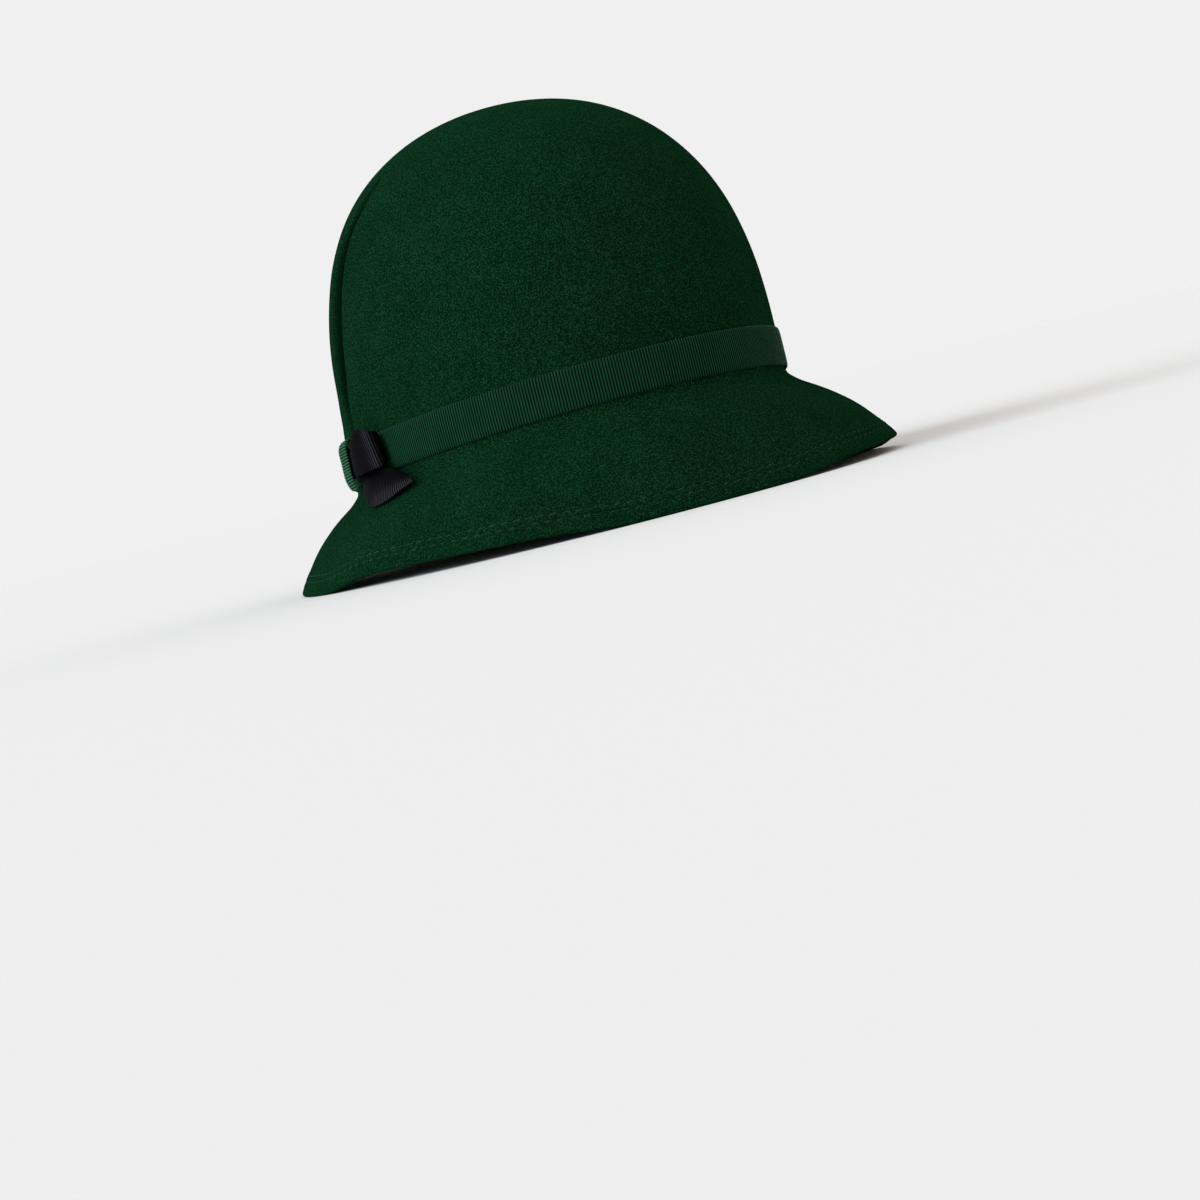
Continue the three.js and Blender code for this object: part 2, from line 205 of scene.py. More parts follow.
class HatStitch(bpy.types.PropertyGroup):
    """Sizes and colour of the two rows of stitches along the hem."""

    lower_row: length("Lower row", "Lower row above the brim's edge", 4.4 * MM)
    upper_row: length("Upper row", "Upper row above the brim's edge", 6.9 * MM)
    pitch: length("Pitch", "Distance from stitch to stitch", 4.6 * MM)
    length: length("Stitch length", "Length of thread that shows", 3.1 * MM)
    thread: length("Thread", "Thickness of the thread", 0.46 * MM)
    slant: angle("Slant", "Turn of each stitch from its row", 9)
    colour_light: colour("Light thread", "Thread where it catches the light", 0.026, 0.06, 0.038)
    colour_deep: colour("Deep thread", "Thread between its strands", 0.006, 0.02, 0.012)


class HatStage(bpy.types.PropertyGroup):
    """Floor, light and camera."""

    floor_colour: colour("Floor", "Pale floor", 0.707, 0.68, 0.649)
    floor_radius: length("Floor radius", "Half the width of the round floor", 60.0)
    sky_colour: colour("Surroundings", "Even light from all round", 0.87, 0.87, 0.87)
    key_colour: colour("Key colour", "Colour of the soft light, slightly cool", 0.76, 0.862, 1.0)
    key_strength: number("Key strength", "Strength of the soft light from the front left", 3.36)
    key_turn: angle("Key turn", "Key light round the hat, towards the wearer's right", 75)
    key_height: angle("Key height", "Key light above the floor", 25)
    key_spread: angle("Key spread", "How wide the key light is, as seen from the hat", 50)
    camera_turn: angle("Camera turn", "Camera round the hat, towards the wearer's right", 19.7)
    camera_tilt: angle("Camera tilt", "How far the camera looks down", 3.4)
    camera_roll: angle("Camera roll", "How far the hat leans in the picture", 14.3)
    camera_distance: length("Camera distance", "Camera from the middle of the head line", 1.05)
    lens: number("Lens", "Focal length in millimetres on a 36 mm sensor", 81.2)
    picture_x: number("Picture x", "Pixels from the left to the middle of the head line", 570.0)
    picture_y: number("Picture y", "Pixels from the top to the middle of the head line", 433.0)


# Node trees written as formulas

class Field:
    """A value in a node tree. Sums and products of fields make the nodes that work them out."""

    def __init__(self, nodes, socket):
        self.nodes = nodes
        self.socket = socket

    def __neg__(self):
        return self * -1.0


def field_sign(operation, swapped):
    """The method behind a sign such as + or * between a field and a field or a number."""
    def work_out(field, other):
        values = (other, field) if swapped else (field, other)
        return field.nodes.math(operation, *values)
    return work_out


FIELD_SIGNS = {"add": "ADD", "sub": "SUBTRACT", "mul": "MULTIPLY", "truediv": "DIVIDE", "pow": "POWER"}
for sign, work in FIELD_SIGNS.items():
    setattr(Field, f"__{sign}__", field_sign(work, swapped=False))
    setattr(Field, f"__r{sign}__", field_sign(work, swapped=True))


class Nodes:
    """A node tree with short ways to add nodes, link them and write formulas."""

    def __init__(self, tree):
        self.tree = tree

    def add(self, kind, inputs=None, **settings):
        """Adds a node, sets it and links or fills its inputs."""
        node = self.tree.nodes.new(kind)
        for key, value in settings.items():
            setattr(node, key, value)
        self.fill(node, inputs or {})
        return node

    def fill(self, node, inputs):
        """Links or fills a node's inputs by name or number."""
        for key, value in inputs.items():
            self.put(node.inputs[key], value)

    def put(self, socket, value):
        """Links a field or socket to an input, or sets a plain value on it."""
        if isinstance(value, Field):
            value = value.socket
        if isinstance(value, bpy.types.NodeSocket):
            self.tree.links.new(value, socket)
        else:
            socket.default_value = value

    def field(self, kind, output, inputs=None, **settings):
        """Adds a node and gives one of its outputs as a field."""
        return Field(self, self.add(kind, inputs, **settings).outputs[output])

    def math(self, operation, *values):
        return self.field("ShaderNodeMath", 0, dict(enumerate(values)), operation=operation)

    def fixed(self, value):
        """A plain number as a field."""
        return self.math("ADD", value, 0.0)

    def sin(self, value):
        return self.math("SINE", value)

    def cos(self, value):
        return self.math("COSINE", value)

    def sqrt(self, value):
        return self.math("SQRT", value)

    def size_of(self, value):
        return self.math("ABSOLUTE", value)

    def clamp(self, value, low, high):
        return self.math("MINIMUM", self.math("MAXIMUM", value, low), high)

    def swell(self, value, width):
        """A smooth bump of height 1 around value 0."""
        share = value / width
        return self.math("EXPONENT", -(share * share))

    def vector(self, x, y, z):
        return self.field("ShaderNodeCombineXYZ", 0, {"X": x, "Y": y, "Z": z})

    def parts(self, value):
        """The x, y and z of a vector."""
        node = self.add("ShaderNodeSeparateXYZ", {0: value})
        return [Field(self, socket) for socket in node.outputs]

    def vector_math(self, operation, *values):
        output = "Value" if operation == "DOT_PRODUCT" else "Vector"
        return self.field("ShaderNodeVectorMath", output, dict(enumerate(values)), operation=operation)

    def scaled(self, vector, factor):
        return self.field("ShaderNodeVectorMath", "Vector", {0: vector, "Scale": factor}, operation="SCALE")

    def table(self, rows, key, column, value):
        """A smooth curve through one column of a table, read at a value of its key column."""
        keys, values = rows[key], rows[column]
        low, high = min(values), max(values)
        node = self.add("ShaderNodeFloatCurve")
        span, swing = keys[-1] - keys[0], high - low
        self.put(node.inputs["Value"], (value - keys[0]) / span)
        curve = node.mapping.curves[0]
        places = [((k - keys[0]) / span, (v - low) / swing) for k, v in zip(keys, values)]
        curve.points[0].location = places[0]
        curve.points[1].location = places[-1]
        for place in places[1:-1]:
            curve.points.new(*place)
        for point in curve.points:
            point.handle_type = "AUTO_CLAMPED"
        node.mapping.extend = "HORIZONTAL"
        node.mapping.update()
        return Field(self, node.outputs[0]) * swing + low


def open_tree(name, kind, inputs, outputs):
    """A node tree with named inputs and outputs, and its inputs as fields."""
    tree = bpy.data.node_groups.new(name, kind)
    for way, sockets in (("INPUT", inputs), ("OUTPUT", outputs)):
        for label, socket in sockets.items():
            tree.interface.new_socket(label, in_out=way, socket_type=f"NodeSocket{socket}")
    nodes = Nodes(tree)
    start = nodes.add("NodeGroupInput")
    return nodes, {socket.name: Field(nodes, socket) for socket in start.outputs if socket.name}


def geometry_tree(name, sizes):
    """A Geometry Nodes tree with a geometry input and output, a material and named size inputs."""
    inputs = {"Geometry": "Geometry", "Material": "Material", **dict.fromkeys(sizes, "Float")}
    return open_tree(name, "GeometryNodeTree", inputs, {"Geometry": "Geometry"})


def close_tree(nodes, inputs, geometry):
    """Ends a tree: realizes instances, shades smooth and sets the material."""
    real = nodes.field("GeometryNodeRealizeInstances", 0, {"Geometry": geometry})
    smooth = nodes.field("GeometryNodeSetShadeSmooth", 0, {"Geometry": real})
    done = nodes.field("GeometryNodeSetMaterial", 0, {"Geometry": smooth, "Material": inputs["Material"]})
    nodes.add("NodeGroupOutput", {"Geometry": done})
    return nodes.tree


def apply_tree(name, mesh, tree, material, sizes):
    """Runs a tree on a mesh and gives the result as a plain mesh object at the origin."""
    piece = bpy.data.objects.new(name, mesh)
    bpy.context.scene.collection.objects.link(piece)
    modifier = piece.modifiers.new(tree.name, "NODES")
    modifier.node_group = tree
    values = {"Material": material, **sizes}
    for item in tree.interface.items_tree:
        if item.in_out == "INPUT" and item.name in values:
            modifier[item.identifier] = values[item.name]
    depsgraph = bpy.context.evaluated_depsgraph_get()
    made = bpy.data.meshes.new_from_object(piece.evaluated_get(depsgraph), depsgraph=depsgraph)
    piece.modifiers.remove(modifier)
    piece.data = made
    made.name = name
    if not made.polygons:
        raise RuntimeError(f"{name} came out of its node tree with no faces")
    return piece


def hand_over(piece, slot, *nodes):
    """Tells the frame what a finished piece rides on and stands for; the slot is not used."""
    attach(piece, BODY)
    if nodes:
        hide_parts(*nodes)
    return piece


def sizes_of(settings, names):
    """The named settings as numbers, for a tree's inputs."""
    return {name: float(getattr(settings, name)) for name in names}


# The hat's rule, as fields

SHAPE_SIZES = (
    "crown_half_width", "crown_half_length", "crown_height", "wall_height", "rise_power", "round_power",
    "thickness", "head_height", "head_rise", "hem_width", "hem_thickness", "hem_swell",
    "lip_height", "groove_depth", "unevenness", "columns",
)
STITCH_ROWS = ("lower_row", "upper_row")
TUCK_REACH = math.radians(45)
TUCK_BUNCH = 0.72
TUCK_RIDGE = {"behind": 5 * MM, "width": 5 * MM}
TUCK_GROOVE = {"behind": 0.0, "width": 1.9 * MM}
TUCK_CREASE = {"width": 0.95 * MM, "depth": 1.5}
TUCK_DRAWN = {"behind": 40 * MM, "width": 40 * MM}
# Painted shade in the felt's colour along the tuck's groove: how far behind the groove it sits and how wide
# it is.
TUCK_PAINTED_SHADE = {"behind": 0.8 * MM, "width": 1.9 * MM}


class HatRule:
    """Points of the hat as fields of an angle round it and a share of the way along each zone."""

    def __init__(self, nodes, size):
        self.nodes = nodes
        self.size = size

    def head_line(self, around):
        return self.size["head_height"] + self.size["head_rise"] * self.nodes.cos(around)

    def tuck(self, column, height):
        return self.nodes.table(TUCK, "height", column, height / MM)

    def tuck_angle(self, height):
        return self.tuck("angle", height) * math.radians(1)

    def leaning(self, column, height):
        """A column of faces leans with the tuck, so its angle changes a little with height."""
        apart = self.nodes.size_of(column - TUCK_MIDDLE) / TUCK_REACH
        share = self.nodes.cos(self.nodes.clamp(apart, 0.0, 1.0) * (math.pi / 2))
        return column + share * share * (self.tuck_angle(height) - TUCK_MIDDLE)

    def oval(self, around, depth):
        """Place on the crown's oval, that far in from its outside, and the outward direction."""
        n = self.nodes
        wide = self.size["crown_half_width"] - depth
        long = self.size["crown_half_length"] - depth
        across, ahead = n.sin(around), -n.cos(around)
        out_x, out_y = across / wide, ahead / long
        reach = n.sqrt(out_x * out_x + out_y * out_y)
        return wide * across, long * ahead, out_x / reach, out_y / reach

    def tuck_lift(self, around, height):
        """How far the tuck lifts the felt outwards."""
        n = self.nodes
        forward = (around - self.tuck_angle(height)) * self.size["crown_half_length"]
        bump = {
            name: n.swell(forward + form["behind"], form["width"])
            for name, form in (("ridge", TUCK_RIDGE), ("groove", TUCK_GROOVE), ("drawn", TUCK_DRAWN))
        }
        crease = n.swell(forward, TUCK_CREASE["width"]) * TUCK_CREASE["depth"]
        groove = self.tuck("groove", height) * (bump["groove"] + crease)
        drawn = self.tuck("drawn", height) * bump["drawn"]
        return (self.tuck("ridge", height) * bump["ridge"] - groove - drawn) * MM

    def tuck_painted_shade(self, around, height):
        """How much painted shade darkens the felt in the tuck's groove, from 0 to 1."""
        forward = (around - self.tuck_angle(height)) * self.size["crown_half_length"]
        strength = self.tuck("groove", height) / max(TUCK["groove"])
        return self.nodes.swell(forward + TUCK_PAINTED_SHADE["behind"], TUCK_PAINTED_SHADE["width"]) * strength

    def crown_point(self, around, scale, height, depth):
        x, y, out_x, out_y = self.oval(around, depth)
        lift = self.tuck_lift(around, height)
        return self.nodes.vector(x * scale + out_x * lift, y * scale + out_y * lift, height)

    def wall(self, column, share, depth):
        """Upright wall: share 0 is the head line and 1 the foot of the dome."""
        top = self.size["head_height"] + self.size["wall_height"]
        foot = self.head_line(column)
        around = self.leaning(column, foot + (top - foot) * share)
        foot = self.head_line(around)
        return self.crown_point(around, 1.0, foot + (top - foot) * share, depth)

    def dome(self, column, share, depth):
        """Dome: share 0 is its foot and 1 the middle of the top."""
        n = self.nodes
        turn = share * (math.pi / 2)
        scale = n.math("MAXIMUM", n.cos(turn), 0.0) ** (2.0 / self.size["round_power"])
        climb = self.size["crown_height"] - self.size["wall_height"] - depth
        rise = climb * n.sin(turn) ** (2.0 / self.size["rise_power"])
        height = self.size["head_height"] + self.size["wall_height"] + rise
        return self.crown_point(self.leaning(column, height), scale, height, depth)

    def section(self, around, out, height):
        """Point at a distance out from the head line and a height."""
        x, y, out_x, out_y = self.oval(around, 0.0)
        return self.nodes.vector(x + out_x * out, y + out_y * out, height)


class BrimRule(HatRule):
    """The brim's section at an angle round the hat."""

    def __init__(self, nodes, size, around):
        super().__init__(nodes, size)
        self.around = around
        turned = nodes.math("WRAP", around, math.pi, -math.pi)
        degrees = nodes.size_of(turned) * math.degrees(1)
        left = nodes.math("GREATER_THAN", turned, 0.0)
        reaches = {side: nodes.table(BRIM_EDGE, "angle", side, degrees) for side in ("left", "right")}
        self.reach = (reaches["right"] + left * (reaches["left"] - reaches["right"])) * MM
        self.floor = nodes.table(BRIM_EDGE, "angle", "height", degrees) * MM
        self.head = self.head_line(around)
        self.down = self.floor + size["lip_height"] - self.head
        self.length = nodes.sqrt(self.reach * self.reach + self.down * self.down)
        self.normal = (-self.down / self.length, self.reach / self.length)

    def spot(self, share, lift):
        """Place in the section: share 0 is the head line and 1 the edge, lift above the upper face."""
        rise = self.nodes.table(BRIM_BOW, "share", "lift", share) * MM + lift
        out = self.reach * share + self.normal[0] * rise
        height = self.head + self.down * share + self.normal[1] * rise
        return out, height

    def above_edge(self, distance, lift):
        """Place in the section at a distance from the brim's edge, along the slope."""
        return self.spot(1.0 - distance / self.length, lift)

    def point(self, spot):
        return self.section(self.around, *spot)


def bend(start, corner, end, share):
    """Round bend between two places in a section, drawn towards a corner."""
    rest = 1.0 - share
    return tuple(
        a * (rest * rest) + b * (share * rest * 2.0) + c * (share * share)
        for a, b, c in zip(start, corner, end)
    )


# Rows of faces in each zone of the felt, from the top of the dome round the hem to the inside.
DOME_ROWS = 62
WALL_ROWS = 14
BRIM_ROWS = 24
HEM_ROWS = 24
UNDER_ROWS = 6
LIP_ROWS = 7
FOOT_ROWS = 2
TURN_ROWS = 5
STEP_ROWS = 4
INNER_BRIM_ROWS = 12
BEND_ROWS = 2
INNER_WALL_ROWS = 6
INNER_DOME_ROWS = 32

# Places in the hem's section.
LIP_START = 1.7 * MM
FOOT_OUTER = 1.6 * MM
FOOT_INNER = 2.6 * MM
TURN_END = 3.2 * MM
STEP_ROUND = 0.7 * MM
GROOVE_WIDTH = 0.55 * MM
INNER_WALL_START = 0.08
MERGE_GAP = 0.004 * MM
WAVE_SCALE = 26.0
WAVE_START = 8 * MM
WAVE_FULL = 24 * MM


def felt_tree():
    """The felt hood: zones of faces laid along the hat's rule and joined into one closed wall."""
    n, size = geometry_tree("felt_hood", (*SHAPE_SIZES, *STITCH_ROWS))
    across, along, _ = n.parts(n.field("GeometryNodeInputPosition", 0))
    share = along + 0.5
    turn = across * math.tau
    near = n.clamp(turn / TUCK_REACH, -1.0, 1.0)
    flank = 1.0 - near * near
    column = turn + TUCK_MIDDLE - near * flank * flank * (TUCK_BUNCH * TUCK_REACH)
    hat = HatRule(n, size)
    brim = BrimRule(n, size, hat.leaning(column, hat.head_line(column)))
    inner = -size["thickness"]
    under = -size["hem_thickness"]
    felt = size["thickness"]

    def hem_face(distance):
        pulled = sum(n.swell(distance - size[row], GROOVE_WIDTH) for row in STITCH_ROWS)
        inset = n.clamp(distance / size["hem_width"], 0.0, 1.0)
        swell = size["hem_swell"] * 4.0 * inset * (1.0 - inset)
        return brim.above_edge(distance, swell - size["groove_depth"] * pulled)

    def mixed(first, second):
        return n.vector_math("ADD", n.scaled(first, 1.0 - share), n.scaled(second, share))

    lip_spread = size["lip_height"] * brim.reach / -brim.down
    foot_outer = (brim.reach - FOOT_OUTER, brim.floor)
    foot_inner = (brim.reach - FOOT_INNER, brim.floor)
    foot_corner = (brim.reach - size["hem_thickness"], brim.floor)
    step_start = size["hem_width"] - STEP_ROUND
    brim_end = 1.0 - size["hem_width"] / brim.length
    zones = [
        (DOME_ROWS, hat.dome(column, 1.0 - share, 0.0)),
        (WALL_ROWS, hat.wall(column, 1.0 - share, 0.0)),
        (BRIM_ROWS, brim.point(brim.spot(share * brim_end, 0.0))),
        (HEM_ROWS, brim.point(hem_face(size["hem_width"] + (LIP_START - size["hem_width"]) * share))),
        (LIP_ROWS, brim.point(bend(
            hem_face(n.fixed(LIP_START)), (brim.reach + lip_spread, brim.floor), foot_outer, share))),
        (FOOT_ROWS, brim.point((brim.reach - FOOT_OUTER + share * (FOOT_OUTER - FOOT_INNER), brim.floor))),
        (TURN_ROWS, brim.point(bend(foot_inner, foot_corner, brim.above_edge(TURN_END, under), share))),
        (UNDER_ROWS, brim.point(brim.above_edge(TURN_END + (step_start - TURN_END) * share, under))),
        (STEP_ROWS, brim.point(bend(
            brim.above_edge(step_start, under), brim.above_edge(size["hem_width"], under),
            brim.above_edge(size["hem_width"], inner), share))),
        (INNER_BRIM_ROWS, brim.point(brim.spot((1.0 - share) * brim_end, inner))),
        (BEND_ROWS, mixed(
            brim.point(brim.spot(n.fixed(0.0), inner)), hat.wall(column, n.fixed(INNER_WALL_START), felt))),
        (INNER_WALL_ROWS, hat.wall(column, INNER_WALL_START + share * (1.0 - INNER_WALL_START), felt)),
        (INNER_DOME_ROWS, hat.dome(column, share, felt)),
    ]
    join = n.add("GeometryNodeJoinGeometry")
    columns = n.math("ADD", size["columns"], 1.0)
    for rows, place in zones:
        grid = n.field("GeometryNodeMeshGrid", 0, {
            "Size X": 1.0, "Size Y": 1.0, "Vertices X": columns, "Vertices Y": rows + 1})
        laid = n.field("GeometryNodeSetPosition", 0, {"Geometry": grid, "Position": place})
        n.put(join.inputs[0], laid)
    whole = n.field("GeometryNodeMergeByDistance", 0, {"Geometry": join.outputs[0], "Distance": MERGE_GAP})
    turned = n.field("GeometryNodeFlipFaces", 0, {"Mesh": whole})
    place = n.field("GeometryNodeInputPosition", 0)
    waves = n.field("ShaderNodeTexNoise", 0, {"Vector": place, "Scale": WAVE_SCALE, "Detail": 1.0})
    x, y, height = n.parts(place)
    clear = n.clamp((height - WAVE_START) / (WAVE_FULL - WAVE_START), 0.0, 1.0)
    lift = (waves - 0.5) * size["unevenness"] * 2.0 * clear
    normal = n.field("GeometryNodeInputNormal", 0)
    around = n.math("ARCTAN2", x / size["crown_half_width"], -y / size["crown_half_length"])
    # Painted shade: this attribute darkens the felt's colour along the tuck's groove.
    with_painted_shade = n.field("GeometryNodeStoreNamedAttribute", 0, {
        "Geometry": turned, "Name": "groove_painted_shade", "Value": hat.tuck_painted_shade(around, height)}, data_type="FLOAT")
    waved = n.field("GeometryNodeSetPosition", 0, {"Geometry": with_painted_shade, "Offset": n.scaled(normal, lift)})
    return close_tree(n, size, centred(n, waved))


def centred(nodes, geometry):
    """Moves what was made around the crown's middle to its place in the frame."""
    place = (CROWN_MIDDLE.x, CROWN_MIDDLE.y, 0.0)
    return nodes.field("GeometryNodeTransform", 0, {"Geometry": geometry, "Translation": place})


# Stitches

STITCH_SIZES = ("pitch", "length", "thread", "slant", *STITCH_ROWS)
STITCH_STEPS = 7
STITCH_SIDES = 6
STITCH_DIP = 0.7
STITCH_RISE = 1.2
HEM_AGAINST_CROWN = 1.3
NEXT_STEP = 0.01


def stitch_tree():
    """Two rows of slanted stitches round the hem, on the outside and on the turned felt."""
    n, size = geometry_tree("hem_stitches", (*SHAPE_SIZES, *STITCH_SIZES))
    half = size["length"] * 0.5
    path = n.field("GeometryNodeCurveQuadraticBezier", 0, {
        "Resolution": STITCH_STEPS,
        "Start": n.vector(-half, 0.0, size["thread"] * -STITCH_DIP),
        "Middle": n.vector(0.0, 0.0, size["thread"] * STITCH_RISE),
        "End": n.vector(half, 0.0, size["thread"] * -STITCH_DIP)})
    ring = n.field("GeometryNodeCurvePrimitiveCircle", 0, {
        "Resolution": STITCH_SIDES, "Radius": size["thread"] * 0.5})
    stitch = n.field("GeometryNodeCurveToMesh", 0, {"Curve": path, "Profile Curve": ring, "Fill Caps": True})
    around_crown = (size["crown_half_width"] + size["crown_half_length"]) * math.pi
    stitches = n.math("ROUND", around_crown * HEM_AGAINST_CROWN / size["pitch"])
    index = n.field("GeometryNodeInputIndex", 0)
    join = n.add("GeometryNodeJoinGeometry")
    for row, start in zip(STITCH_ROWS, (0.0, 0.5)):
        around = (index + start) / stitches * math.tau - math.pi
        here, ahead = (BrimRule(n, size, around + step) for step in (0.0, NEXT_STEP))
        for side, depth in ((1.0, 0.0), (-1.0, -1.0)):
            lift = size["hem_thickness"] * depth
            place = here.point(here.above_edge(size[row], lift))
            forward = n.vector_math("SUBTRACT", ahead.point(ahead.above_edge(size[row], lift)), place)
            up = n.vector_math("SUBTRACT", here.point(here.above_edge(size[row], lift + MM)), place)
            turn = n.field("FunctionNodeAlignRotationToVector", 0, {"Vector": forward}, axis="X")
            turn = n.field("FunctionNodeAlignRotationToVector", 0, {
                "Rotation": turn, "Vector": n.scaled(up, side)}, axis="Z", pivot_axis="X")
            slant = n.field("FunctionNodeAxisAngleToRotation", 0, {
                "Axis": (0.0, 0.0, 1.0), "Angle": size["slant"] * side})
            turn = n.field("FunctionNodeRotateRotation", 0, {
                "Rotation": turn, "Rotate By": slant}, rotation_space="LOCAL")
            line = n.field("GeometryNodeMeshLine", 0, {"Count": stitches})
            laid = n.field("GeometryNodeSetPosition", 0, {"Geometry": line, "Position": place})
            sewn = n.field("GeometryNodeInstanceOnPoints", 0, {
                "Points": laid, "Instance": stitch, "Rotation": turn})
            n.put(join.inputs[0], sewn)
    return close_tree(n, size, centred(n, join.outputs[0]))


# Ribbons

RIB_STEPS = 7
EDGE_POWER = 6.0
CUT_ROUND = 0.45 * MM
RIB_SHARPNESS = 0.75
ROUGH_STEPS = 400
ROUND_STEPS = 2000
RIBBON_SIZES = ("thickness", "rib_pitch", "rib_height")


def ribbon_tree():
    """Gives a ribbon's middle sheet its thickness, rounded selvedges and cross ribs.

    The sheet carries where each point is: along the ribbon in metres, across it from 0 to 1, and its
    distance from the nearest cut end in metres.
    """
    n, size = geometry_tree("grosgrain_ribs", RIBBON_SIZES)
    read = {
        name: n.field("GeometryNodeInputNamedAttribute", 0, {"Name": name}, data_type="FLOAT")
        for name in ("along", "across", "cut")
    }
    inset = n.size_of(read["across"] * 2.0 - 1.0)
    selvedge = n.sqrt(n.math("MAXIMUM", 1.0 - inset ** EDGE_POWER, 0.0))
    near_cut = 1.0 - n.clamp(read["cut"] / CUT_ROUND, 0.0, 1.0)
    rounded = selvedge * n.sqrt(1.0 - near_cut * near_cut)
    crest = n.size_of(n.cos(read["along"] * math.pi / size["rib_pitch"])) ** RIB_SHARPNESS
    half = (size["thickness"] * 0.5 + size["rib_height"] * (crest - 0.5)) * rounded
    normal = n.field("GeometryNodeInputNormal", 0)
    sheet = size["Geometry"]
    face = n.field("GeometryNodeSetPosition", 0, {"Geometry": sheet, "Offset": n.scaled(normal, half)})
    back = n.field("GeometryNodeSetPosition", 0, {"Geometry": sheet, "Offset": n.scaled(normal, -half)})
    back = n.field("GeometryNodeFlipFaces", 0, {"Mesh": back})
    join = n.add("GeometryNodeJoinGeometry")
    n.put(join.inputs[0], face)
    n.put(join.inputs[0], back)
    whole = n.field("GeometryNodeMergeByDistance", 0, {"Geometry": join.outputs[0], "Distance": MERGE_GAP})
    return close_tree(n, size, whole)


def smooth_line(points, shares):
    """Points of a smooth curve through a row of points, at shares of the way along it."""
    points = np.array(points, float)
    padded = np.vstack([2 * points[0] - points[1], points, 2 * points[-1] - points[-2]])
    spans = len(points) - 1
    first = np.minimum((shares * spans).astype(int), spans - 1)
    local = (shares * spans - first)[:, None]
    corners = [padded[first + k] for k in range(4)]
    gaps = [np.sqrt(np.linalg.norm(b - a, axis=1))[:, None] for a, b in zip(corners, corners[1:])]
    before, here, after = gaps

    def slope(a, b, c, gap_ab, gap_bc):
        return here * ((b - a) / gap_ab - (c - a) / (gap_ab + gap_bc) + (c - b) / gap_bc)

    leave = slope(corners[0], corners[1], corners[2], before, here)
    arrive = slope(corners[1], corners[2], corners[3], here, after)
    rest = 1 - local
    return (
        corners[1] * (1 + 2 * local) * rest ** 2 + corners[2] * (3 - 2 * local) * local ** 2
        + leave * local * rest ** 2 - arrive * local ** 2 * rest
    )


def along_line(points):
    """Distance along a row of points, from its first."""
    steps = np.linalg.norm(np.diff(points, axis=0), axis=1)
    return np.concatenate([[0.0], np.cumsum(steps)])


def across_shares(rows):
    """Shares across a ribbon, closer together at the selvedges."""
    return 0.5 - 0.5 * np.cos(np.linspace(0, math.pi, rows))


def split_corners(quads):
    """Faces of an open sheet, with each corner quad cut in two from the sheet's own corner."""
    corners = {(0, 0): 0, (-1, 0): 1, (-1, -1): 2, (0, -1): 3}
    triangles = []
    whole = np.ones(quads.shape[:2], bool)
    for cell, start in corners.items():
        whole[cell] = False
        p, q, r, s = np.roll(quads[cell], -start).tolist()
        triangles += [[p, q, r], [p, r, s]]
    return quads[whole].tolist() + triangles


def sheet_mesh(name, places, along, cut, painted_light, closed):
    """A ribbon's middle sheet from a grid of points [along][across], with its attributes."""
    long, wide = places.shape[:2]
    first = np.arange(long if closed else long - 1)
    second = (first + 1) % long
    side = np.arange(wide - 1)
    a = first[:, None] * wide + side
    b = second[:, None] * wide + side
    quads = np.stack([a, b, b + 1, a + 1], axis=-1)
    faces = quads.reshape(-1, 4).tolist() if closed else split_corners(quads)
    mesh = bpy.data.meshes.new(name)
    mesh.from_pydata(places.reshape(-1, 3).tolist(), [], faces)
    values = {
        "along": np.repeat(along, wide),
        "across": np.tile(across_shares(wide), long),
        "cut": np.repeat(cut, wide),
        "painted_light": painted_light.ravel(),
    }
    for attribute, data in values.items():
        layer = mesh.attributes.new(attribute, "FLOAT", "POINT")
        layer.data.foreach_set("value", data.astype(np.float32))
    return mesh


def table_curve(rows, key, column, value):
    """A curve through one column of a table that never swings beyond two neighbouring rows."""
    keys, values = (np.array(rows[name], float) for name in (key, column))
    steps = np.diff(values) / np.diff(keys)
    before, after = np.concatenate([[0], steps]), np.concatenate([steps, [0]])
    same = before * after > 0
    tangent = np.where(same, 2 * before * after / np.where(same, before + after, 1), 0)
    at = np.clip(value, keys[0], keys[-1])
    i = np.clip(np.searchsorted(keys, at) - 1, 0, len(keys) - 2)
    span = keys[i + 1] - keys[i]
    t = (at - keys[i]) / span
    rest = 1 - t
    ends = values[i] * (1 + 2 * t) * rest ** 2 + values[i + 1] * (3 - 2 * t) * t ** 2
    return ends + span * t * rest * (rest * tangent[i] - t * tangent[i + 1])


